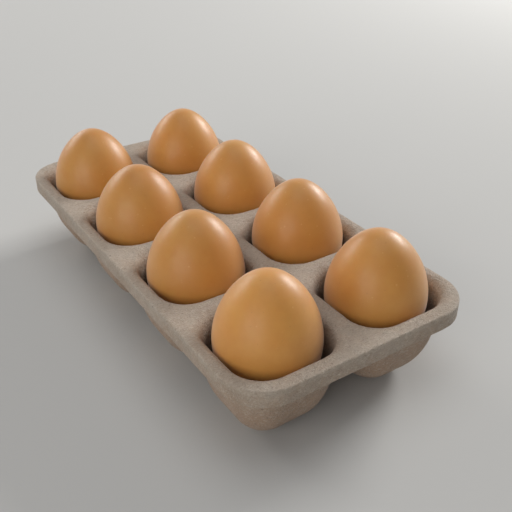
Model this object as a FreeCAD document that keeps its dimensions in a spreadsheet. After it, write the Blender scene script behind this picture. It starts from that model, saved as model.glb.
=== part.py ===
"""Egg carton: a moulded pulp tray with two rows of four cups, and the eight eggs that sit in it.

Frame: X along the rows of cups, Y across them, Z up. The origin is on the surface that the
tray stands on, under the middle of the tray. Millimetres.
"""
import FreeCAD, Part
import math
import os
import Sketcher

DIMENSIONS = {
    # tray, seen from above
    "cells_long": 4,           # cups in each row
    "cells_wide": 2,           # rows of cups
    "pitch_long": 55,          # cup to cup along a row
    "pitch_wide": 54.5,        # row to row
    "end_margin": 30,          # middle of an end cup to the end of the rim
    "side_margin": 28.75,      # middle of a row to the long side of the rim
    "rim_corner": 18.6,        # corner radius of the rim, seen from above
    # tray, seen from the side
    "deck_height": 40,         # underside of the feet to the top of the deck
    "skirt_height": 7.2,       # rim turned down round the deck
    "pulp_wall": 1.3,          # thickness of the moulded pulp
    "rim_round": 1.8,          # outer edge of the rim
    "mouth_round": 4,          # soft edge where the deck turns down into a cup
    # cup
    "seat_drop": 5.6,          # deck down to the ring where the cup holds its egg
    "seat_gap": 0.25,          # egg to cup wall at that ring
    "mouth_flare": 0.5,        # cup wall leans out by this much from the ring up to the deck
    "corner_share": 0.61,      # corner radius of a cup, as a share of its half width
    "bowl_power": 2.48,        # 2 is a round bowl, more is a squarer one
    "foot_cut": 0.3,           # tip of the bowl that is pressed flat to make the foot
    # egg
    "egg_radius": 21.4,
    "tip_height": 29.3,        # widest ring up to the pointed end
    "blunt_height": 27.5,      # widest ring down to the blunt end
    "tip_fullness": 0.83,      # bluntness of each end: 1 is an ellipse's, less is more pointed
    "blunt_fullness": 1.09,
    "widest_drop": 2.8,        # deck down to the widest ring of a seated egg
    "shell_wall": 0.38,
    "membrane": 0.07,          # gap left for each of the thin skins inside the egg
    "air_cell": 3,             # depth of the air space at the blunt end
    "yolk_radius": 15.4,
}
BOWL_STEPS = 6                 # cross-sections of a cup between its egg ring and its foot
SLACK = 0.01                   # how exactly an edge is found by where it lies
FAR_OUT = 1e6                  # further out than any edge
LEVEL, UPRIGHT = -1, -2        # a sketch's own two axes

doc = FreeCAD.newDocument("egg_carton")
sheet = doc.addObject("Spreadsheet::Sheet", "dims")
for row, (word, value) in enumerate(DIMENSIONS.items(), start=1):
    sheet.set(f"A{row}", word)
    sheet.set(f"B{row}", str(value))
    sheet.setAlias(f"B{row}", word)
doc.recompute()


def origin_part(body, role):
    """One of the body's own origin planes or axes."""
    return next(item for item in body.Origin.OriginFeatures if item.Role == role)


def add_sketch(body, name, role="XY_Plane"):
    sketch = body.newObject("Sketcher::SketchObject", name)
    sketch.AttachmentSupport = [(origin_part(body, role), "")]
    sketch.MapMode = "FlatFace"
    return sketch


def bound(sketch, name, expression, kind, *where):
    """Adds a named size to a sketch and ties it to the sheet."""
    index = sketch.addConstraint(Sketcher.Constraint(kind, *where))
    sketch.renameConstraint(index, name)
    sketch.setExpression(f"Constraints.{name}", expression)


def rounded_rectangle(body, name, size_x, size_y, corner, height, centre=("0", "0")):
    """A level rounded rectangle. Every size is an expression on the sheet."""
    sketch = add_sketch(body, name)
    sketch.setExpression("AttachmentOffset.Base.x", centre[0])
    sketch.setExpression("AttachmentOffset.Base.y", centre[1])
    sketch.setExpression("AttachmentOffset.Base.z", height)
    half_x, half_y, radius = 20.0, 18.0, 5.0       # any start shape: the sizes are bound below
    corners = [(half_x, -half_y, 270), (half_x, half_y, 0), (-half_x, half_y, 90), (-half_x, -half_y, 180)]
    arcs = []
    for x, y, start in corners:
        middle = FreeCAD.Vector(x - math.copysign(radius, x), y - math.copysign(radius, y), 0)
        circle = Part.Circle(middle, FreeCAD.Vector(0, 0, 1), radius)
        arcs.append(Part.ArcOfCircle(circle, math.radians(start), math.radians(start + 90)))
    for number, arc in enumerate(arcs):
        before = arcs[number - 1]
        sketch.addGeometry(Part.LineSegment(before.EndPoint, arc.StartPoint), False)
        sketch.addGeometry(arc, False)
    # lines are 0, 2, 4, 6 (bottom, right, top, left) and arcs are 1, 3, 5, 7
    for item in range(8):
        sketch.addConstraint(Sketcher.Constraint("Tangent", item, 2, (item + 1) % 8, 1))
    for line, direction in ((0, "Horizontal"), (2, "Vertical"), (4, "Horizontal"), (6, "Vertical")):
        sketch.addConstraint(Sketcher.Constraint(direction, line))
    for arc in (3, 5, 7):
        sketch.addConstraint(Sketcher.Constraint("Equal", 1, arc))
    sketch.addConstraint(Sketcher.Constraint("Symmetric", 1, 3, 5, 3, -1, 1))
    bound(sketch, "corner", corner, "Radius", 1, radius)
    bound(sketch, "along", size_x, "DistanceX", 6, 1, 2, 1, 2 * half_x)
    bound(sketch, "across", size_y, "DistanceY", 0, 1, 4, 1, 2 * half_y)
    return sketch


# ---- tray ----------------------------------------------------------------------------------------

RIM_LONG = "((dims.cells_long - 1) * dims.pitch_long + 2 * dims.end_margin)"
RIM_WIDE = "((dims.cells_wide - 1) * dims.pitch_wide + 2 * dims.side_margin)"
SEAT_HEIGHT = "(dims.deck_height - dims.seat_drop)"
TIP_RADIUS = "(dims.tip_fullness * dims.egg_radius ^ 2 / dims.tip_height)"
BLUNT_RADIUS = "(dims.blunt_fullness * dims.egg_radius ^ 2 / dims.blunt_height)"
# radius of the egg at the ring where the cup holds it, on the egg's lower side arc
SIDE_ARC = (f"((dims.egg_radius ^ 2 + dims.blunt_height ^ 2 - 2 * dims.blunt_height * {BLUNT_RADIUS})"
            f" / (2 * (dims.egg_radius - {BLUNT_RADIUS})))")
SEAT_RADIUS = (f"(dims.egg_radius - {SIDE_ARC}"
               f" + sqrt({SIDE_ARC} ^ 2 - (dims.seat_drop - dims.widest_drop) ^ 2))")
SEAT_HALF = f"({SEAT_RADIUS} + dims.seat_gap)"
FIRST_CELL = ("-(dims.cells_long - 1) / 2 * dims.pitch_long",
              "-(dims.cells_wide - 1) / 2 * dims.pitch_wide")


def cup_sections(body, name, wall):
    """Level sections of one cup, from the deck down to its foot, grown outwards by a wall.

    Below the egg ring the cup is a superellipse bowl: half width and depth follow
    cos and sin of one angle, both to the power 2 / bowl_power.
    """
    half_top = f"({SEAT_HALF} + {wall})"
    floor = f"(dims.pulp_wall - {wall})"
    depth = f"({SEAT_HEIGHT} - {floor} + dims.foot_cut)"
    levels = [("dims.deck_height", f"({half_top} + dims.mouth_flare)")]
    for step in range(BOWL_STEPS):
        angle = f"{90 * step / BOWL_STEPS} deg"
        level = f"{SEAT_HEIGHT} - {depth} * pow(sin({angle}); 2 / dims.bowl_power)"
        half = f"({half_top} * pow(cos({angle}); 2 / dims.bowl_power))"
        levels.append((level, half))
    foot_share = f"(1 - dims.foot_cut / {depth})"
    foot_half = f"({half_top} * pow(1 - pow({foot_share}; dims.bowl_power); 1 / dims.bowl_power))"
    levels.append((floor, foot_half))
    sections = []
    for number, (level, half) in enumerate(levels):
        side = f"2 * {half}"
        corner = f"dims.corner_share * {half}"
        sections.append(rounded_rectangle(body, f"{name}_{number}", side, side, corner, level, FIRST_CELL))
    return sections


def repeat_over_grid(body, feature, name):
    """Repeats a feature of the first cell over all the cells."""
    grid = body.newObject("PartDesign::MultiTransform", name)
    grid.Originals = [feature]
    steps = []
    for word, role in (("long", "X_Axis"), ("wide", "Y_Axis")):
        step = doc.addObject("PartDesign::LinearPattern", f"{name}_{word}")
        step.Direction = (origin_part(body, role), [""])
        step.Mode = "Spacing"
        step.setExpression("Offset", f"dims.pitch_{word}")
        step.setExpression("Occurrences", f"dims.cells_{word}")
        steps.append(step)
    grid.Transformations = steps
    body.Tip = grid
    return grid


def level_edges(shape, height, inside_x, inside_y):
    """Names of the edges that lie level at a height, inside a rectangle about the origin."""
    names = []
    for number, edge in enumerate(shape.Edges, start=1):
        box = edge.BoundBox
        level = abs(box.ZMin - height) < SLACK and abs(box.ZMax - height) < SLACK
        reach_x = max(abs(box.XMin), abs(box.XMax))
        reach_y = max(abs(box.YMin), abs(box.YMax))
        if level and reach_x < inside_x and reach_y < inside_y:
            names.append(f"Edge{number}")
    return names


def round_edges(body, base, name, edges, radius):
    fillet = body.newObject("PartDesign::Fillet", name)
    fillet.Base = (base, edges)
    fillet.setExpression("Radius", radius)
    doc.recompute()
    return fillet


def make_tray():
    body = doc.addObject("PartDesign::Body", "tray_body")
    body.Label = "egg_tray"
    deck = body.newObject("PartDesign::Pad", "deck")
    deck.Profile = rounded_rectangle(body, "rim_outline", RIM_LONG, RIM_WIDE, "dims.rim_corner",
                                     "dims.deck_height - dims.skirt_height")
    deck.setExpression("Length", "dims.skirt_height")
    doc.recompute()

    top_edges = level_edges(deck.Shape, sheet.deck_height, FAR_OUT, FAR_OUT)
    rim = round_edges(body, deck, "rim_edge", top_edges, "dims.rim_round")

    hollow = body.newObject("PartDesign::Pocket", "hollow")
    hollow.Profile = rounded_rectangle(body, "hollow_outline",
                                       f"{RIM_LONG} - 2 * dims.pulp_wall",
                                       f"{RIM_WIDE} - 2 * dims.pulp_wall",
                                       "dims.rim_corner - dims.pulp_wall",
                                       "dims.deck_height - dims.skirt_height")
    hollow.Reversed = True
    hollow.setExpression("Length", "dims.skirt_height - dims.pulp_wall")
    doc.recompute()
    print("hollow removes", round(rim.Shape.Volume - hollow.Shape.Volume), "mm3")

    outer = cup_sections(body, "cup_outside", "dims.pulp_wall")
    cup = body.newObject("PartDesign::AdditiveLoft", "cup")
    cup.Profile = outer[0]
    cup.Sections = outer[1:]
    cups = repeat_over_grid(body, cup, "cups")
    doc.recompute()
    print("with cups", round(cups.Shape.Volume), "mm3,", len(cups.Shape.Solids), "solid")

    inner = cup_sections(body, "cup_inside", "0")
    space = body.newObject("PartDesign::SubtractiveLoft", "egg_space")
    space.Profile = inner[0]
    space.Sections = inner[1:]
    spaces = repeat_over_grid(body, space, "egg_spaces")
    doc.recompute()
    print("cups hollowed", round(spaces.Shape.Volume), "mm3,", len(spaces.Shape.Solids), "solid")

    # the soft mouths of the cups: one bend on top of the deck and, less the wall, one under it
    reach_x = (sheet.cells_long - 1) / 2 * sheet.pitch_long + sheet.end_margin - sheet.rim_round
    reach_y = (sheet.cells_wide - 1) / 2 * sheet.pitch_wide + sheet.side_margin - sheet.rim_round
    mouths = level_edges(spaces.Shape, sheet.deck_height, reach_x - SLACK, reach_y - SLACK)
    upper = round_edges(body, spaces, "mouth_edges", mouths, "dims.mouth_round")
    reach_x += sheet.rim_round - sheet.pulp_wall
    reach_y += sheet.rim_round - sheet.pulp_wall
    under = level_edges(upper.Shape, sheet.deck_height - sheet.pulp_wall, reach_x - SLACK, reach_y - SLACK)
    lower = round_edges(body, upper, "mouth_undersides", under, "dims.mouth_round - dims.pulp_wall")
    print(len(mouths), "mouth edges rounded,", len(under), "under them")
    body.Tip = lower
    return body


# ---- eggs ----------------------------------------------------------------------------------------

def half_outline(radius, tip_height, tip_radius, blunt_height, blunt_radius):
    """Half an egg about the sketch's upright axis: blunt end, lower side, upper side, tip."""
    arcs = []
    for height, end in ((-blunt_height, blunt_radius), (tip_height, tip_radius)):
        length = abs(height)
        side = (radius ** 2 + length ** 2 - 2 * length * end) / (2 * (radius - end))
        side_middle = FreeCAD.Vector(radius - side, 0, 0)
        end_middle = FreeCAD.Vector(0, math.copysign(length - end, height), 0)
        meet = math.atan2(end_middle.y, end_middle.x - side_middle.x)
        axis = FreeCAD.Vector(0, 0, 1)
        side_arc = Part.ArcOfCircle(Part.Circle(side_middle, axis, side), *sorted((0, meet)))
        upright = math.copysign(math.pi / 2, height)
        end_arc = Part.ArcOfCircle(Part.Circle(end_middle, axis, end), *sorted((upright, meet)))
        arcs += [end_arc, side_arc] if height < 0 else [side_arc, end_arc]
    return arcs


def draw_outline(sketch, name, *inset):
    """Draws one egg outline, inset by the named walls, and ties its sizes. Returns its first arc.

    The arcs' centres stay put when the outline is inset, so a wall between two is even.
    """
    less = sum(getattr(sheet, word) for word in inset)
    inset = "".join(f" - dims.{word}" for word in inset)
    tip_radius = sheet.tip_fullness * sheet.egg_radius ** 2 / sheet.tip_height
    blunt_radius = sheet.blunt_fullness * sheet.egg_radius ** 2 / sheet.blunt_height
    full_sizes = (sheet.egg_radius, sheet.tip_height, tip_radius, sheet.blunt_height, blunt_radius)
    sizes = [size - less for size in full_sizes]
    first = sketch.GeometryCount
    sketch.addGeometry(half_outline(*sizes), False)
    blunt, lower, upper, tip = range(first, first + 4)
    rules = [("Tangent", blunt, 2, lower, 1), ("Coincident", lower, 2, upper, 1),
             ("Tangent", upper, 2, tip, 1)]
    rules += [("PointOnObject", arc, 3, UPRIGHT) for arc in (blunt, tip)]
    rules += [("PointOnObject", arc, 3, LEVEL) for arc in (lower, upper)]
    rules += [("PointOnObject", blunt, 1, UPRIGHT), ("PointOnObject", tip, 2, UPRIGHT),
              ("PointOnObject", lower, 2, LEVEL)]
    for rule in rules:
        sketch.addConstraint(Sketcher.Constraint(*rule))
    bound(sketch, f"{name}_blunt", f"{BLUNT_RADIUS}{inset}", "Radius", blunt, sizes[4])
    bound(sketch, f"{name}_tip", f"{TIP_RADIUS}{inset}", "Radius", tip, sizes[2])
    bound(sketch, f"{name}_width", f"dims.egg_radius{inset}", "DistanceX", -1, 1, lower, 2, sizes[0])
    bound(sketch, f"{name}_up", f"dims.tip_height{inset}", "DistanceY", -1, 1, tip, 2, sizes[1])
    bound(sketch, f"{name}_down", f"dims.blunt_height{inset}", "DistanceY", blunt, 1, -1, 1, sizes[3])
    return first


def join_on_axis(sketch, start, end):
    """A line along the upright axis between two points, each given as (curve, end of it)."""
    line = sketch.addGeometry(Part.LineSegment(sketch.getPoint(*start), sketch.getPoint(*end)), False)
    sketch.addConstraint(Sketcher.Constraint("Coincident", line, 1, *start))
    sketch.addConstraint(Sketcher.Constraint("Coincident", line, 2, *end))


def turn(body, sketch, name):
    solid = body.newObject("PartDesign::Revolution", name)
    solid.Profile = sketch
    solid.ReferenceAxis = (sketch, ["V_Axis"])
    solid.Angle = 360
    body.Tip = solid


def make_shell(body):
    sketch = add_sketch(body, f"{body.Name}_outline", "XZ_Plane")
    outside = draw_outline(sketch, "outside")
    inside = draw_outline(sketch, "inside", "shell_wall")
    join_on_axis(sketch, (outside + 3, 2), (inside + 3, 2))
    join_on_axis(sketch, (outside, 1), (inside, 1))
    turn(body, sketch, f"{body.Name}_turned")


def level_primitive(body, kind, name, height):
    item = body.newObject(f"PartDesign::{kind}", name)
    item.AttachmentSupport = [(origin_part(body, "XY_Plane"), "")]
    item.MapMode = "FlatFace"
    item.setExpression("AttachmentOffset.Base.z", height)
    return item


def make_white(body):
    sketch = add_sketch(body, f"{body.Name}_outline", "XZ_Plane")
    outside = draw_outline(sketch, "outside", "shell_wall", "membrane")
    join_on_axis(sketch, (outside + 3, 2), (outside, 1))
    turn(body, sketch, f"{body.Name}_turned")
    hollow = level_primitive(body, "SubtractiveSphere", f"{body.Name}_yolk_space", "0")
    hollow.setExpression("Radius", "dims.yolk_radius + dims.membrane")
    air = level_primitive(body, "SubtractiveCylinder", f"{body.Name}_air_cell", "-dims.blunt_height")
    air.setExpression("Radius", "dims.egg_radius")
    air.setExpression("Height", "dims.shell_wall + dims.air_cell")
    body.Tip = air


def make_yolk(body):
    ball = level_primitive(body, "AdditiveSphere", f"{body.Name}_ball", "0")
    ball.setExpression("Radius", "dims.yolk_radius")
    body.Tip = ball


def make_egg(name, column, row):
    for layer, make in (("shell", make_shell), ("white", make_white), ("yolk", make_yolk)):
        body = doc.addObject("PartDesign::Body", f"{name}_{layer}_body")
        body.Label = f"{name}_{layer}"
        make(body)
        body.setExpression("Placement.Base.x", f"{FIRST_CELL[0]} + {column} * dims.pitch_long")
        body.setExpression("Placement.Base.y", f"{FIRST_CELL[1]} + {row} * dims.pitch_wide")
        body.setExpression("Placement.Base.z", "dims.deck_height - dims.widest_drop")


# ---- build, check, write -------------------------------------------------------------------------

make_tray()
for row in range(int(sheet.cells_wide)):
    for column in range(int(sheet.cells_long)):
        make_egg(f"egg_{'abcdefgh'[row]}{column + 1}", column, row)
doc.recompute()

for item in doc.Objects:
    if "Invalid" in item.State or "Error" in item.State:
        raise RuntimeError(f"{item.Label} failed to build: {item.State}")
bodies = [item for item in doc.Objects if item.TypeId == "PartDesign::Body"]
for body in bodies:
    if body.Shape.isNull() or not body.Shape.isValid() or len(body.Shape.Solids) != 1:
        raise RuntimeError(f"{body.Label} is not one valid solid")
os.makedirs("parts", exist_ok=True)
for body in bodies:
    body.Shape.exportStep(f"parts/{body.Label}.step")
    print(f"{body.Label}: {body.Shape.Volume / 1000:.2f} cm3")
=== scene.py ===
# %% [markdown]
# # An egg carton: an open tray of moulded pulp with eight brown eggs
#
# The tray is one sheet of paper pulp, sucked onto a wire mould and dried, so every wall has
# the same thickness and every edge is soft. The eggs stand in it with their pointed ends up.
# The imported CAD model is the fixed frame: sizes and places come from it, and each piece
# made here stands for one CAD node and moves with its body.

# %% Load the frame
import math
import random

import bpy
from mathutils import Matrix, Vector


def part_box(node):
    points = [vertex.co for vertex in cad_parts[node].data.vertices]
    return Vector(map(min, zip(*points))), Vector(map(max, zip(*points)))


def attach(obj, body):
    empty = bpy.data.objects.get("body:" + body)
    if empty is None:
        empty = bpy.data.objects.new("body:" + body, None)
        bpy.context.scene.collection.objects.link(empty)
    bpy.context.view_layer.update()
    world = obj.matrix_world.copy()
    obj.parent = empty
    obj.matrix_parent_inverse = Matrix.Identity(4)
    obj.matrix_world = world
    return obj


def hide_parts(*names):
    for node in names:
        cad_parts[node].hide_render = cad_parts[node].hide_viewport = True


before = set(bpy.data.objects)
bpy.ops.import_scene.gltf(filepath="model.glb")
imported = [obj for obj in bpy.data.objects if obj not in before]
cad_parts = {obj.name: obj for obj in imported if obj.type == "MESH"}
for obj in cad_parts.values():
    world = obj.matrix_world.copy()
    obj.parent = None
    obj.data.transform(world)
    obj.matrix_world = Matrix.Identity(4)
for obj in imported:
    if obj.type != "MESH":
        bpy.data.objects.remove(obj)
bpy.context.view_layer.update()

# %% [markdown]
# ## Measuring the frame
#
# The rim, the deck height, the spacing of the cups and the size of an egg can all be read
# from the boxes of the CAD nodes. Only the sizes that a box doesn't show, such as the wall
# and the bends, are named here. They are the real part's sizes, in metres.

# %% Sizes of the tray and the eggs
ROWS, COLUMNS = "ab", 4
MM = 0.001
tray_low, tray_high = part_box("egg_tray")
egg_boxes = {f"egg_{row}{number}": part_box(f"egg_{row}{number}_shell")
             for row in ROWS for number in range(1, COLUMNS + 1)}


def middle_of(box):
    low, high = box
    return (low + high) / 2


first_egg = middle_of(egg_boxes["egg_a1"])
PITCH_LONG = middle_of(egg_boxes["egg_a2"]).x - first_egg.x
PITCH_WIDE = middle_of(egg_boxes["egg_b1"]).y - first_egg.y
EGG_RADIUS = (egg_boxes["egg_a1"][1].x - egg_boxes["egg_a1"][0].x) / 2
DECK = tray_high.z
HALF_LONG, HALF_WIDE = tray_high.x, tray_high.y
WIDEST = DECK - 2.8 * MM            # height of a seated egg's widest ring
PULP_WALL = 1.3 * MM
SKIRT = 7.2 * MM
RIM_CORNER = 18.6 * MM
RIM_ROUND = 0.7 * MM
MOUTH_ROUND = 4.0 * MM
SEAT_DROP = 5.6 * MM                # deck down to the ring that holds the egg
SEAT_HALF = EGG_RADIUS + 0.13 * MM  # half width of the cup at that ring
FLARE = 0.5 * MM                    # the cup's wall leans out by this much above that ring
FOOT_CUT = 0.3 * MM                 # tip of the bowl that is pressed flat to make the foot
BOWL_POWER = 2.48                   # 2 is a round bowl, more is a squarer one
CORNER_SHARE = 0.61                 # corner radius of a cup, as a share of its half width
SHELL_WALL = 0.38 * MM
print(f"cups {PITCH_LONG / MM:.1f} x {PITCH_WIDE / MM:.1f} mm apart")
print(f"eggs {2 * EGG_RADIUS / MM:.1f} mm wide")

# %% [markdown]
# ## Camera
#
# The camera comes first, so every later choice is judged through it. It looks down along
# the tray from one end with a 50 mm lens.

# %% Camera
LOOK_AT = Vector((37.5, -2.6, 42.0)) * MM
BACK = Vector((0.709, -0.471, 0.525)).normalized()      # from the tray to the camera
CAMERA_DISTANCE = 311.9          # millimetres
camera_data = bpy.data.cameras.new("camera")
camera_data.lens = 50
camera_data.clip_start = 0.01
camera = bpy.data.objects.new("camera", camera_data)
bpy.context.scene.collection.objects.link(camera)
camera.location = LOOK_AT + BACK * CAMERA_DISTANCE * MM
camera.rotation_euler = BACK.to_track_quat("Z", "Y").to_euler()
bpy.context.scene.camera = camera
print("camera at", [round(value, 3) for value in camera.location])

# %% [markdown]
# ## Node trees written as formulas
#
# The tray's shape is a rule, so Geometry Nodes can work it out point by point. A rule with
# a hundred Math nodes is hard to read as nodes. This small class stands for a node's
# output, and its arithmetic adds Math nodes, so the rule below reads as a formula.

# %% A number that builds nodes
class Field:
    def __init__(self, tree, socket):
        self.tree, self.socket = tree, socket

    def math(self, operation, other=None):
        node = self.tree.nodes.new("ShaderNodeMath")
        node.operation = operation
        for place, value in enumerate((self, other)):
            if isinstance(value, Field):
                self.tree.links.new(value.socket, node.inputs[place])
            elif value is not None:
                node.inputs[place].default_value = value
        return Field(self.tree, node.outputs[0])

    def __add__(self, other):
        return self.math("ADD", other)

    def __sub__(self, other):
        return self.math("SUBTRACT", other)

    def __mul__(self, other):
        return self.math("MULTIPLY", other)

    def __truediv__(self, other):
        return self.math("DIVIDE", other)

    def __pow__(self, other):
        return self.math("POWER", other)

    def sin(self):
        return self.math("SINE")

    def cos(self):
        return self.math("COSINE")

    def tan(self):
        return self.math("TANGENT")

    def size(self):
        return self.math("ABSOLUTE")

    def sign(self):
        return self.math("SIGN")

    def floor(self):
        return self.math("FLOOR")

    def at_least(self, other):
        return self.math("MAXIMUM", other)

    def at_most(self, other):
        return self.math("MINIMUM", other)

    def over(self, other):
        return self.math("GREATER_THAN", other)

    def within(self, low, high):
        return self.at_least(low).at_most(high)

    def choose(self, yes, no):
        """yes where this is 1, no where it is 0."""
        return no + (yes - no) * self


def ramp(value, start, slope, most):
    """0 up to start, then rising at the slope to most. A slope below 0 rises the other way."""
    return ((value - start) * slope).within(0, most)


def split(tree, socket):
    node = tree.nodes.new("ShaderNodeSeparateXYZ")
    tree.links.new(socket, node.inputs[0])
    return [Field(tree, output) for output in node.outputs]


def join(tree, x, y, z):
    node = tree.nodes.new("ShaderNodeCombineXYZ")
    for place, value in enumerate((x, y, z)):
        if isinstance(value, Field):
            tree.links.new(value.socket, node.inputs[place])
        else:
            node.inputs[place].default_value = value
    return node.outputs[0]


# %% A new Geometry Nodes tree with named inputs
SOCKET_KINDS = {float: "Float", Vector: "Vector"}      # anything else is a material


def new_tree(name, inputs):
    """A tree with a geometry in and out. Returns it, its inputs by name, and its output node."""
    tree = bpy.data.node_groups.new(name, "GeometryNodeTree")
    tree.interface.new_socket("Geometry", in_out="INPUT", socket_type="NodeSocketGeometry")
    tree.interface.new_socket("Geometry", in_out="OUTPUT", socket_type="NodeSocketGeometry")
    for title, value in inputs.items():
        kind = SOCKET_KINDS.get(type(value), "Material")
        socket = tree.interface.new_socket(title, in_out="INPUT", socket_type=f"NodeSocket{kind}")
        socket.default_value = value
    given = tree.nodes.new("NodeGroupInput")
    result = tree.nodes.new("NodeGroupOutput")
    return tree, given.outputs, result


def finish_tree(tree, geometry, material, result):
    """Ends a tree in Realize Instances and Set Material."""
    real = tree.nodes.new("GeometryNodeRealizeInstances")
    paint = tree.nodes.new("GeometryNodeSetMaterial")
    tree.links.new(geometry, real.inputs[0])
    tree.links.new(real.outputs[0], paint.inputs["Geometry"])
    tree.links.new(material, paint.inputs["Material"])
    tree.links.new(paint.outputs[0], result.inputs[0])


def add_nodes(piece, tree, values=None):
    """Adds a tree as a modifier. Its inputs are set by the sockets' identifiers."""
    modifier = piece.modifiers.new(tree.name, "NODES")
    modifier.node_group = tree
    for item in tree.interface.items_tree:
        if item.in_out == "INPUT" and values and item.name in values:
            modifier[item.identifier] = values[item.name]
    return modifier


def empty_piece(name):
    piece = bpy.data.objects.new(name, bpy.data.meshes.new(name))
    bpy.context.scene.collection.objects.link(piece)
    return piece


def bake_modifiers(piece):
    """Turns what the modifiers make into the piece's own plain mesh."""
    graph = bpy.context.evaluated_depsgraph_get()
    graph.update()
    made = bpy.data.meshes.new_from_object(piece.evaluated_get(graph))
    piece.modifiers.clear()
    piece.data = made
    made.name = piece.name
    made.polygons.foreach_set("use_smooth", [True] * len(made.polygons))
    made.update()
    print(f"{piece.name}: {len(made.vertices)} points, {len(made.polygons)} faces")

# %% [markdown]
# ## The tray as one bent sheet
#
# Think of a flat net of squares pressed into the mould. Each cup takes a square patch of
# it. A point's ring number, how far it is from the patch's middle, says where it is on the
# way up the cup: floor, bowl, wall, soft mouth, deck. Its place along the ring says where
# it is on a rounded square. The rows outside the patches bend over the rim and hang down
# as the skirt. One net gives even quads with no seams, which a surface made of joined cups
# and a deck wouldn't.

# %% Net of the tray
RINGS = 34                 # rings from the middle of a cup to the edge of its patch
BEND_ROWS, SKIRT_ROWS = 4, 5
SEAT_SHARE, WALL_SHARE, MOUTH_SHARE = 0.74, 0.78, 0.95   # where each stretch ends, of all rings
QUARTER = math.pi / 2
NOT_ZERO = 1e-9            # keeps a divisor off zero
SIDE_SHARE = 1 - CORNER_SHARE + CORNER_SHARE * QUARTER / 2   # half a side and half a corner
STRAIGHT_SHARE = (1 - CORNER_SHARE) / SIDE_SHARE


def onto_rounded_square(half, turn):
    """Place along and out from the side of a rounded square, for a turn from 0 to 1 at its corner."""
    angle = ((turn - STRAIGHT_SHARE) / (1 - STRAIGHT_SHARE)).within(0, 1) * (QUARTER / 2)
    corner = half * CORNER_SHARE
    along = turn.at_most(STRAIGHT_SHARE) * SIDE_SHARE * half + corner * angle.sin()
    out = half - corner + corner * angle.cos()
    return along, out


def round_the_corner(x, y, half_x, half_y, radius):
    """Bends the square corners of a plan to a radius. Returns the place and the way out from it."""
    straight_x, straight_y = half_x - radius, half_y - radius
    over_x = (x.size() - straight_x).at_least(0)
    over_y = (y.size() - straight_y).at_least(0)
    most = over_x.at_least(over_y).at_least(NOT_ZERO)
    least = over_x.at_most(over_y)
    angle = least / most * (QUARTER / 2)
    wide = over_x.over(over_y)
    out_x = wide.choose(angle.cos(), angle.sin())
    out_y = wide.choose(angle.sin(), angle.cos())
    place_x = x.sign() * (x.size().at_most(straight_x) + most * out_x)
    place_y = y.sign() * (y.size().at_most(straight_y) + most * out_y)
    return place_x, place_y, x.sign() * out_x, y.sign() * out_y


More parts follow.
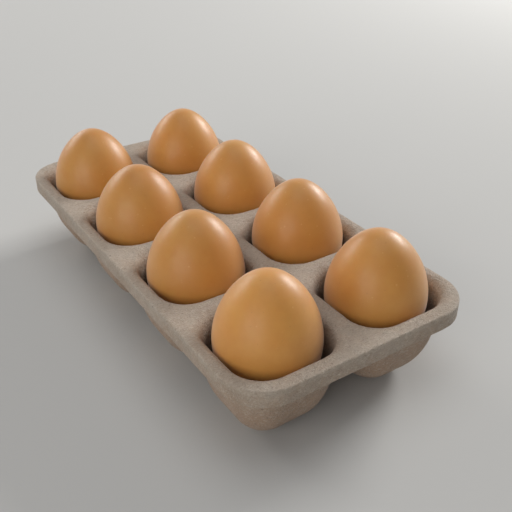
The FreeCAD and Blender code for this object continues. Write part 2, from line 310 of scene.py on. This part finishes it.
# %% The rule of the tray
def tray_tree(material):
    sizes = {"Pitch Long": PITCH_LONG, "Pitch Wide": PITCH_WIDE, "Half Long": HALF_LONG,
             "Half Wide": HALF_WIDE, "Deck": DECK, "Skirt": SKIRT, "Rim Corner": RIM_CORNER,
             "Rim Round": RIM_ROUND, "Mouth Round": MOUTH_ROUND, "Seat Drop": SEAT_DROP,
             "Seat Half": SEAT_HALF, "Flare": FLARE, "Wall": PULP_WALL, "Foot Cut": FOOT_CUT,
             "Pulp": material}
    tree, given, result = new_tree("pulp_sheet", sizes)
    size = {name: Field(tree, given[name]) for name in sizes}

    rim_rows = BEND_ROWS + SKIRT_ROWS
    net = tree.nodes.new("GeometryNodeMeshGrid")
    for axis, cups in (("X", COLUMNS), ("Y", len(ROWS))):
        steps = 2 * (cups * RINGS + rim_rows)
        net.inputs[f"Size {axis}"].default_value = steps
        net.inputs[f"Vertices {axis}"].default_value = steps + 1
    position = tree.nodes.new("GeometryNodeInputPosition")
    net_x, net_y, _ = split(tree, position.outputs[0])

    # rows past the patches, and the place on the patches' outline that each of them starts from
    reach_x, reach_y = COLUMNS * RINGS, len(ROWS) * RINGS
    past = (net_x.size() - reach_x).at_least(net_y.size() - reach_y).at_least(0)
    net_x = net_x * reach_x / (past + reach_x)
    net_y = net_y * reach_y / (past + reach_y)

    # the patch that a point is in, its ring and its turn round the ring
    places = []
    for value, cups in ((net_x, COLUMNS), (net_y, len(ROWS))):
        patch = (value / (2 * RINGS)).floor().within(-cups / 2, cups / 2 - 1) + 0.5
        places.append((patch, (value - patch * (2 * RINGS)) / RINGS))
    (patch_x, local_x), (patch_y, local_y) = places
    ring = local_x.size().at_least(local_y.size())
    safe_ring = ring.at_least(NOT_ZERO)
    turn = local_x.size().at_most(local_y.size()) / safe_ring

    # the way up a cup: a superellipse bowl, a leaning wall, and a quarter bend onto the deck
    angle = ((ring / SEAT_SHARE).within(0, 1) * -1 + 1) * QUARTER
    floor = size["Wall"]
    bowl_depth = size["Deck"] - size["Seat Drop"] - floor + size["Foot Cut"]
    bowl_half = size["Seat Half"] * angle.cos().at_least(0) ** (2 / BOWL_POWER)
    bowl_drop = bowl_depth * angle.sin().at_least(0) ** (2 / BOWL_POWER)
    bowl_height = size["Deck"] - size["Seat Drop"] - bowl_drop
    wall_part = ((ring - SEAT_SHARE) / (WALL_SHARE - SEAT_SHARE)).within(0, 1)
    wall_rise = size["Seat Drop"] - size["Mouth Round"]
    bend = ((ring - WALL_SHARE) / (MOUTH_SHARE - WALL_SHARE)).within(0, 1) * QUARTER
    half = bowl_half + wall_part * size["Flare"] + size["Mouth Round"] * (bend.cos() * -1 + 1)
    height = bowl_height.at_least(floor) + wall_part * wall_rise + size["Mouth Round"] * bend.sin()
    along, out = onto_rounded_square(half, turn)
    wide = local_x.size().over(local_y.size())
    cup_x = patch_x * size["Pitch Long"] + local_x.sign() * wide.choose(out, along)
    cup_y = patch_y * size["Pitch Wide"] + local_y.sign() * wide.choose(along, out)

    # the edge of the patch, stretched out to the rim on the tray's own sides
    edges = []
    for value, patch, local, pitch, half_size, cups in (
            (net_x, patch_x, local_x, size["Pitch Long"], size["Half Long"], COLUMNS),
            (net_y, patch_y, local_y, size["Pitch Wide"], size["Half Wide"], len(ROWS))):
        edge = (patch + local / safe_ring * 0.5) * pitch
        plain = pitch * ((cups - 1) / 2)
        margin = half_size - size["Rim Round"] - plain
        beyond = (edge.size() - plain).at_least(0) / (pitch * 0.5)
        edges.append(edge.sign() * (edge.size().at_most(plain) + beyond * margin))
    corner = size["Rim Corner"] - size["Rim Round"]
    flat_long, flat_wide = size["Half Long"] - size["Rim Round"], size["Half Wide"] - size["Rim Round"]
    rim_x, rim_y, way_x, way_y = round_the_corner(edges[0], edges[1], flat_long, flat_wide, corner)
    deck_part = ((ring - MOUTH_SHARE) / (1 - MOUTH_SHARE)).within(0, 1)
    flat_x = cup_x + (rim_x - cup_x) * deck_part
    flat_y = cup_y + (rim_y - cup_y) * deck_part

    # over the rim and down the skirt
    over = (past / BEND_ROWS).within(0, 1) * QUARTER
    down = ((past - BEND_ROWS) / SKIRT_ROWS).within(0, 1)
    out_by = size["Rim Round"] * over.sin()
    drop = size["Rim Round"] * (over.cos() * -1 + 1) + down * (size["Skirt"] - size["Rim Round"])
    place = join(tree, flat_x + way_x * out_by, flat_y + way_y * out_by, height - drop)

    move = tree.nodes.new("GeometryNodeSetPosition")
    tree.links.new(net.outputs["Mesh"], move.inputs["Geometry"])
    tree.links.new(place, move.inputs["Position"])
    finish_tree(tree, move.outputs[0], given["Pulp"], result)
    print(f"{tree.name}: {len(tree.nodes)} nodes")
    return tree

# %% [markdown]
# ## Uneven surfaces
#
# Wet pulp settles unevenly and an egg is never a perfect solid of revolution. A second tree
# pushes points along their normals by noise, in real geometry, so the outline and the
# highlights waver too. Bump in the material adds only what is finer than the net.

# %% A relief for any piece
def relief_tree():
    sizes = {"Broad Size": 14 * MM, "Broad Depth": 0.2 * MM, "Fine Size": 2.6 * MM,
             "Fine Depth": 0.1 * MM, "Seed": 1.0, "Finish": None}
    tree, given, result = new_tree("relief", sizes)
    position = tree.nodes.new("GeometryNodeInputPosition")
    normal = tree.nodes.new("GeometryNodeInputNormal")
    total = None
    for layer in ("Broad", "Fine"):
        scale = Field(tree, given[f"{layer} Size"])
        noise = tree.nodes.new("ShaderNodeTexNoise")
        noise.noise_dimensions = "4D"
        noise.inputs["Detail"].default_value = 2
        tree.links.new(position.outputs[0], noise.inputs["Vector"])
        tree.links.new(given["Seed"], noise.inputs["W"])
        tree.links.new((scale ** -1).socket, noise.inputs["Scale"])
        push = (Field(tree, noise.outputs[0]) - 0.5) * 2 * Field(tree, given[f"{layer} Depth"])
        total = push if total is None else total + push
    along = tree.nodes.new("ShaderNodeVectorMath")
    along.operation = "SCALE"
    tree.links.new(normal.outputs[0], along.inputs[0])
    tree.links.new(total.socket, along.inputs["Scale"])
    move = tree.nodes.new("GeometryNodeSetPosition")
    tree.links.new(given["Geometry"], move.inputs["Geometry"])
    tree.links.new(along.outputs[0], move.inputs["Offset"])
    finish_tree(tree, move.outputs[0], given["Finish"], result)
    return tree


RELIEF = relief_tree()

# %% [markdown]
# ## Shader groups that more than one finish uses
#
# Pulp, shell, white and yolk all vary in colour in soft patches, and the pulp and the shell
# both have a fine grain. Each effect is a group with its own sizes, and the Principled BSDF
# stays in the material.

# %% Shader groups
def new_shader_group(name, inputs, outputs):
    group = bpy.data.node_groups.new(name, "ShaderNodeTree")
    for title, value in inputs.items():
        kind = "Color" if isinstance(value, tuple) else "Float"
        socket = group.interface.new_socket(title, in_out="INPUT", socket_type=f"NodeSocket{kind}")
        socket.default_value = value
    for title, kind in outputs.items():
        group.interface.new_socket(title, in_out="OUTPUT", socket_type=f"NodeSocket{kind}")
    given = group.nodes.new("NodeGroupInput").outputs
    result = group.nodes.new("NodeGroupOutput").inputs
    return group, given, result


def feed(tree, value, socket):
    """Sets a socket to a number, or links another socket to it."""
    if isinstance(value, (int, float)):
        socket.default_value = value
    else:
        tree.links.new(value, socket)


def noise_in(tree, size, seed, detail=3.0, roughness=0.55, stretch=None):
    """Noise on Object coordinates whose patches are about the given size."""
    place = tree.nodes.new("ShaderNodeTexCoord").outputs["Object"]
    if stretch:
        mapping = tree.nodes.new("ShaderNodeMapping")
        mapping.inputs["Rotation"].default_value, mapping.inputs["Scale"].default_value = stretch
        tree.links.new(place, mapping.inputs[0])
        place = mapping.outputs[0]
    noise = tree.nodes.new("ShaderNodeTexNoise")
    noise.noise_dimensions = "4D"
    noise.inputs["Detail"].default_value = detail
    noise.inputs["Roughness"].default_value = roughness
    tree.links.new(place, noise.inputs["Vector"])
    scale = 1 / size if isinstance(size, float) else (Field(tree, size) ** -1).socket
    feed(tree, scale, noise.inputs["Scale"])
    feed(tree, seed, noise.inputs["W"])
    return Field(tree, noise.outputs[0])


def mottle_group():
    """Soft patches: 0 to 1 over the surface, with named size, seed and contrast."""
    group, given, result = new_shader_group(
        "mottle", {"Size": 0.01, "Contrast": 2.0, "Seed": 0.0}, {"Mask": "Float"})
    noise = noise_in(group, given["Size"], given["Seed"])
    mask = ((noise - 0.5) * Field(group, given["Contrast"]) + 0.5).within(0, 1)
    group.links.new(mask.socket, result["Mask"])
    return group


def speckle_group():
    """Small scattered spots: 1 on a spot, 0 off it. Amount is the share of cells with one."""
    group, given, result = new_shader_group(
        "speckle", {"Size": 0.001, "Amount": 0.2, "Seed": 0.0}, {"Mask": "Float"})
    cells = group.nodes.new("ShaderNodeTexVoronoi")
    cells.voronoi_dimensions = "4D"
    place = group.nodes.new("ShaderNodeTexCoord").outputs["Object"]
    group.links.new(place, cells.inputs["Vector"])
    group.links.new(given["Seed"], cells.inputs["W"])
    group.links.new((Field(group, given["Size"]) ** -1).socket, cells.inputs["Scale"])
    luck = group.nodes.new("ShaderNodeSeparateColor")
    group.links.new(cells.outputs["Color"], luck.inputs[0])
    chosen = Field(group, given["Amount"]).over(Field(group, luck.outputs[0]))
    reach = Field(group, luck.outputs[1]) * 0.35 + 0.12
    spot = ((reach - Field(group, cells.outputs["Distance"])) * 6).within(0, 1)
    group.links.new((chosen * spot).socket, result["Mask"])
    return group


def grain_group():
    """A fine rough surface in three sizes, as a height and a normal."""
    group, given, result = new_shader_group(
        "grain", {"Size": 0.001, "Depth": 0.0001, "Seed": 0.0}, {"Height": "Float", "Normal": "Vector"})
    size = Field(group, given["Size"])
    coarse = noise_in(group, (size * 2.6).socket, given["Seed"], 4.0, 0.65)
    middle = noise_in(group, size.socket, given["Seed"], 5.0, 0.7)
    pits = group.nodes.new("ShaderNodeTexVoronoi")
    pits.feature = "SMOOTH_F1"
    group.links.new(group.nodes.new("ShaderNodeTexCoord").outputs["Object"], pits.inputs["Vector"])
    group.links.new((size ** -1 * 1.7).socket, pits.inputs["Scale"])
    height = coarse * 0.5 + middle * 0.6 + Field(group, pits.outputs["Distance"]) * 0.35
    bump = group.nodes.new("ShaderNodeBump")
    bump.inputs["Strength"].default_value = 1.0
    group.links.new(height.socket, bump.inputs["Height"])
    group.links.new(given["Depth"], bump.inputs["Distance"])
    group.links.new(height.socket, result["Height"])
    group.links.new(bump.outputs[0], result["Normal"])
    return group


MOTTLE, SPECKLE, GRAIN = mottle_group(), speckle_group(), grain_group()
print("groups:", MOTTLE.name, SPECKLE.name, GRAIN.name)


def place_group(tree, group, **values):
    node = tree.nodes.new("ShaderNodeGroup")
    node.node_tree = group
    for title, value in values.items():
        node.inputs[title.replace("_", " ")].default_value = value
    return node


def mix_colors(tree, amount, first, second):
    """A colour between two, each a tuple or a socket."""
    node = tree.nodes.new("ShaderNodeMix")
    node.data_type = "RGBA"
    tree.links.new(amount.socket if isinstance(amount, Field) else amount, node.inputs["Factor"])
    for title, value in (("A", first), ("B", second)):
        socket = next(item for item in node.inputs if item.name == title and item.type == "RGBA")
        if isinstance(value, tuple):
            socket.default_value = (*value, 1)
        else:
            tree.links.new(value, socket)
    return next(item for item in node.outputs if item.type == "RGBA")


def new_material(name):
    material = bpy.data.materials.new(name)
    material.use_nodes = True
    return material, material.node_tree, material.node_tree.nodes["Principled BSDF"]

# %% [markdown]
# ## Moulded pulp
#
# Recycled paper pulp is grey-brown and quite matt. Seen close it is a felt: light and dark
# fibres lie in it, small specks of old print darken it, and its tone drifts in patches
# where it dried faster. The feet and bowls are made the warmest, darker towards the bottom, and
# the lips and the deck are painted paler, as painted light on the tops. The fibres are noise
# stretched along several directions, so they read as short hairs; the felted surface is bump,
# its high points are painted paler as painted glints and its low points darker as painted shade.

# %% Pulp material
def pulp_material():
    material, tree, shader = new_material("moulded_pulp")
    patches = place_group(tree, MOTTLE, Size=16 * MM, Contrast=2.2, Seed=3.0).outputs[0]
    clouds = place_group(tree, MOTTLE, Size=3.2 * MM, Contrast=2.4, Seed=8.0).outputs[0]
    tone = mix_colors(tree, patches, (0.350, 0.268, 0.195), (0.500, 0.440, 0.370))
    warm = place_group(tree, MOTTLE, Size=8 * MM, Contrast=3.2, Seed=14.0).outputs[0]
    tone = mix_colors(tree, Field(tree, warm) * 0.55, tone, (0.445, 0.305, 0.205))
    tone = mix_colors(tree, Field(tree, clouds) * 0.6, tone, (0.330, 0.258, 0.195))
    height = split(tree, tree.nodes.new("ShaderNodeTexCoord").outputs["Object"])[2]
    # darker and warmer towards the bottom, over the bowls and feet
    lower_tint = ramp(height / (DECK - SKIRT), 1.1, -1.3, 0.75)
    tone = mix_colors(tree, lower_tint, tone, (0.385, 0.240, 0.150))
    # painted light: the top of the tray, the deck and the lips, is painted paler and greyer
    painted_top_light = ramp(height / DECK, 0.93, 9, 0.25)
    tone = mix_colors(tree, painted_top_light, tone, (0.500, 0.440, 0.370))
    light_fibre, dark_fibre = (0.60, 0.53, 0.44), (0.25, 0.19, 0.14)
    for turned, color in (((0.3, 0.5, 0.6), light_fibre), ((0.9, -0.4, 2.1), dark_fibre),
                          ((2.0, 0.8, 1.3), light_fibre), ((1.4, 2.2, -0.7), dark_fibre)):
        hairs = noise_in(tree, 0.55 * MM, 5.0 + turned[0], 2.0, 0.5, (turned, (1.0, 0.32, 0.7)))
        tone = mix_colors(tree, ramp(hairs, 0.60, 8, 0.38), tone, color)
    dark = place_group(tree, SPECKLE, Size=1.3 * MM, Amount=0.08, Seed=2.0).outputs[0]
    tone = mix_colors(tree, Field(tree, dark) * 0.6, tone, (0.16, 0.120, 0.090))
    grain = place_group(tree, GRAIN, Size=0.95 * MM, Depth=1.0 * MM, Seed=1.0)
    glint_and_shade_height = Field(tree, grain.outputs["Height"])
    # painted glints on the grain's high points, then painted shade in its low points
    tone = mix_colors(tree, ramp(glint_and_shade_height, 0.74, 2, 0.25), tone, (0.66, 0.60, 0.52))
    tone = mix_colors(tree, ramp(glint_and_shade_height, 0.64, -2, 0.25), tone, (0.25, 0.185, 0.135))
    tree.links.new(tone, shader.inputs["Base Color"])
    tree.links.new(grain.outputs["Normal"], shader.inputs["Normal"])
    rough = (Field(tree, clouds) * -0.12 + 0.80).socket
    tree.links.new(rough, shader.inputs["Roughness"])
    shader.inputs["Specular IOR Level"].default_value = 0.5
    shader.inputs["Sheen Weight"].default_value = 0.12
    shader.inputs["Sheen Roughness"].default_value = 0.6
    return material


PULP = pulp_material()
print(f"{PULP.name}: {len(PULP.node_tree.nodes)} nodes")

# %% Make the tray
tray = empty_piece("pulp_tray")
add_nodes(tray, tray_tree(PULP))
wall = tray.modifiers.new("wall", "SOLIDIFY")
wall.thickness = PULP_WALL
wall.offset = -1
wall.use_even_offset = True
soft = tray.modifiers.new("soft_edge", "BEVEL")
soft.width = 0.35 * MM
soft.segments = 2
soft.limit_method = "ANGLE"
soft.angle_limit = math.radians(60)
add_nodes(tray, RELIEF, {"Broad Size": 14 * MM, "Broad Depth": 0.22 * MM, "Fine Size": 2.4 * MM,
                         "Fine Depth": 0.13 * MM, "Seed": 1.0, "Finish": PULP})
bake_modifiers(tray)
for point in tray.data.vertices:
    point.co.z = max(point.co.z, 0)      # the feet stand flat
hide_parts("egg_tray")
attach(tray, "tray")

# %% [markdown]
# ## Eggs
#
# An egg's outline is nearly two half ellipses that meet at its widest ring, with the
# pointed half drawn in a little towards the tip. The net is a cube blown up to a ball, so
# its faces are even and it has no poles. Each egg has its own noise seed and tone.

# %% The rule of an egg
EGG_NET = 34               # points along each side of the cube
TIP_DRAW = 0.15            # how much the pointed half is drawn in


def egg_tree():
    sizes = {"Radius": 0.02, "Tip Height": 0.03, "Blunt Height": 0.027, "Middle": Vector((0, 0, 0)),
             "Shell": SHELL_BLANK}
    tree, given, result = new_tree("egg", sizes)
    net = tree.nodes.new("GeometryNodeMeshCube")
    net.inputs["Size"].default_value = (2, 2, 2)
    for axis in "XYZ":
        net.inputs[f"Vertices {axis}"].default_value = EGG_NET
    position = tree.nodes.new("GeometryNodeInputPosition")
    # even out the faces: the tangent of an eighth turn is 1, so angles are spread, not lengths
    spread = [(side * (QUARTER / 2)).tan() for side in split(tree, position.outputs[0])]
    length = (spread[0] ** 2 + spread[1] ** 2 + spread[2] ** 2) ** 0.5
    ball_x, ball_y, ball_z = [side / length for side in spread]
    upper = ball_z.over(0)
    radius = Field(tree, given["Radius"])
    drawn = ball_z.at_least(0) ** 2 * -TIP_DRAW + 1
    tall = upper.choose(Field(tree, given["Tip Height"]), Field(tree, given["Blunt Height"]))
    middle = split(tree, given["Middle"])
    place = join(tree, ball_x * radius * drawn + middle[0], ball_y * radius * drawn + middle[1],
                 ball_z * tall + middle[2])
    move = tree.nodes.new("GeometryNodeSetPosition")
    tree.links.new(net.outputs["Mesh"], move.inputs["Geometry"])
    tree.links.new(place, move.inputs["Position"])
    finish_tree(tree, move.outputs[0], given["Shell"], result)
    return tree


# %% [markdown]
# ## Brown eggshell
#
# The brown is a thin stain laid on a white shell, so its tone drifts from egg to egg and
# over one egg, and it gathers in fine specks. The surface is smooth with a soft gloss and
# tiny pores. The thin skin that a fresh egg dries with is a weak coat over the rougher shell.

# %% Shell material
def shell_material(name, tone_shift, seed):
    """Brown eggshell. A tone_shift above 0 is paler, below 0 is deeper."""
    material, tree, shader = new_material(name)
    pale = tuple(channel * (1 + 0.35 * tone_shift) for channel in (0.700, 0.338, 0.080))
    deep = tuple(channel * (1 + 0.35 * tone_shift) for channel in (0.630, 0.258, 0.048))
    patches = place_group(tree, MOTTLE, Size=17 * MM, Contrast=1.8, Seed=seed).outputs[0]
    clouds = place_group(tree, MOTTLE, Size=2.6 * MM, Contrast=2.5, Seed=seed + 4).outputs[0]
    stain = mix_colors(tree, patches, deep, pale)
    stain = mix_colors(tree, Field(tree, clouds) * 0.16, stain, (0.58, 0.235, 0.055))
    for size, amount, strength, color in ((0.8, 0.14, 0.22, (0.42, 0.165, 0.045)),
                                          (1.1, 0.10, 0.20, (0.88, 0.56, 0.24))):
        spots = place_group(tree, SPECKLE, Size=size * MM, Amount=amount, Seed=seed + size).outputs[0]
        stain = mix_colors(tree, Field(tree, spots) * strength, stain, color)
    tree.links.new(stain, shader.inputs["Base Color"])
    grain = place_group(tree, GRAIN, Size=0.5 * MM, Depth=0.022 * MM, Seed=seed)
    tree.links.new(grain.outputs["Normal"], shader.inputs["Normal"])
    tree.links.new((Field(tree, clouds) * 0.1 + 0.44).socket, shader.inputs["Roughness"])
    shader.inputs["Coat Weight"].default_value = 0.14
    shader.inputs["Coat Roughness"].default_value = 0.30
    shader.inputs["Specular IOR Level"].default_value = 0.5
    shader.inputs["IOR"].default_value = 1.5
    shader.inputs["Sheen Weight"].default_value = 0.30
    shader.inputs["Sheen Roughness"].default_value = 0.45
    shader.inputs["Subsurface Weight"].default_value = 0.12
    shader.inputs["Subsurface Radius"].default_value = (1.0, 0.35, 0.12)
    shader.inputs["Subsurface Scale"].default_value = 2.0 * MM
    return material


SHELL_BLANK = shell_material("eggshell", 0.0, 1.0)
EGG = egg_tree()
print(f"{EGG.name}: {len(EGG.nodes)} nodes")

# %% Make the eggs
draw = random.Random(8)
for egg_name, box in egg_boxes.items():
    low, high = box
    middle = middle_of(box)
    tone = draw.uniform(-0.18, 0.18)
    seed = draw.uniform(0, 50)
    finish = shell_material(f"eggshell_{egg_name}", tone, seed)
    shell = empty_piece(f"{egg_name}_brown_shell")
    add_nodes(shell, EGG, {"Radius": EGG_RADIUS, "Tip Height": high.z - WIDEST,
                           "Blunt Height": WIDEST - low.z, "Middle": (middle.x, middle.y, WIDEST),
                           "Shell": finish})
    add_nodes(shell, RELIEF, {"Broad Size": 19 * MM, "Broad Depth": 0.10 * MM, "Fine Size": 5 * MM,
                              "Fine Depth": 0.012 * MM, "Seed": seed, "Finish": finish})
    wall = shell.modifiers.new("wall", "SOLIDIFY")
    wall.thickness = SHELL_WALL
    wall.offset = -1
    bake_modifiers(shell)
    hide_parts(f"{egg_name}_shell")
    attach(shell, egg_name)

# %% [markdown]
# ## White and yolk
#
# They stay as the CAD made them, sealed inside the shells. The white is a clear jelly and
# the yolk a smooth orange ball, so each only needs its finish.

# %% Inside materials
def inside_material(name, first, second, roughness, clear):
    material, tree, shader = new_material(name)
    patches = place_group(tree, MOTTLE, Size=7 * MM, Contrast=1.6, Seed=6.0).outputs[0]
    tree.links.new(mix_colors(tree, patches, first, second), shader.inputs["Base Color"])
    tree.links.new((Field(tree, patches) * 0.08 + roughness).socket, shader.inputs["Roughness"])
    shader.inputs["Transmission Weight"].default_value = clear
    return material


WHITE = inside_material("egg_white", (0.90, 0.88, 0.70), (0.95, 0.93, 0.82), 0.12, 0.7)
YOLK = inside_material("egg_yolk", (0.90, 0.42, 0.04), (0.95, 0.52, 0.07), 0.28, 0.0)
for node_name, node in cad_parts.items():
    if node_name.endswith("white") or node_name.endswith("yolk"):
        node.data.materials.clear()
        node.data.materials.append(WHITE if node_name.endswith("white") else YOLK)
print("finished", len(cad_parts), "CAD nodes' materials")

# %% [markdown]
# ## Floor and light
#
# A plain pale floor and soft studio light. The key stands behind on the right and rather
# low, so it passes between the eggs of the far row, lights the web of pulp between them
# and puts the broad highlight on the eggs' right shoulders. A second light behind on the
# left lays a pale veil on their left sides. A wide fill and a top light keep the near side
# and the cups from going dark. All stand well over a metre away, so the tray's far end
# isn't brighter than its near end.

# %% Floor
floor_mesh = bpy.data.meshes.new("floor")
REACH = 3.0
corners = [(-REACH, -REACH, 0), (REACH, -REACH, 0), (REACH, REACH, 0), (-REACH, REACH, 0)]
floor_mesh.from_pydata(corners, [], [(0, 1, 2, 3)])
floor = bpy.data.objects.new("floor", floor_mesh)
bpy.context.scene.collection.objects.link(floor)
floor_paint, _, floor_shader = new_material("floor")
floor_shader.inputs["Base Color"].default_value = (0.58, 0.575, 0.56, 1)
floor_shader.inputs["Roughness"].default_value = 1.0
floor_shader.inputs["Specular IOR Level"].default_value = 0.0
floor_mesh.materials.append(floor_paint)


# %% Lights
def soft_light(name, place, aim, width, height, power, color):
    data = bpy.data.lights.new(name, "AREA")
    data.shape = "RECTANGLE"
    data.size, data.size_y = width, height
    data.energy = power
    data.color = color
    lamp = bpy.data.objects.new(name, data)
    bpy.context.scene.collection.objects.link(lamp)
    lamp.location = place
    lamp.rotation_euler = (Vector(place) - Vector(aim)).to_track_quat("Z", "Y").to_euler()


bpy.context.scene.view_settings.view_transform = "Standard"    # keeps the shells' orange
AIM = (0.02, 0, 0.04)
soft_light("key", (-0.28, 1.50, 0.68), AIM, 0.65, 0.45, 22.0, (1.0, 0.99, 0.97))
soft_light("back", (-1.75, -0.40, 0.72), AIM, 1.30, 0.60, 14.0, (1.0, 0.99, 0.97))
soft_light("fill", (0.55, -1.20, 0.55), AIM, 1.1, 0.8, 7.5, (1.0, 0.97, 0.93))
soft_light("top", (0.05, 0.05, 1.4), AIM, 1.2, 1.2, 5.0, (1.0, 1.0, 1.0))
world = bpy.data.worlds.new("studio")
world.use_nodes = True
world.node_tree.nodes["Background"].inputs["Color"].default_value = (0.80, 0.83, 0.88, 1)
world.node_tree.nodes["Background"].inputs["Strength"].default_value = 0.18
bpy.context.scene.world = world
print("lights:", [lamp.name for lamp in bpy.data.lights])
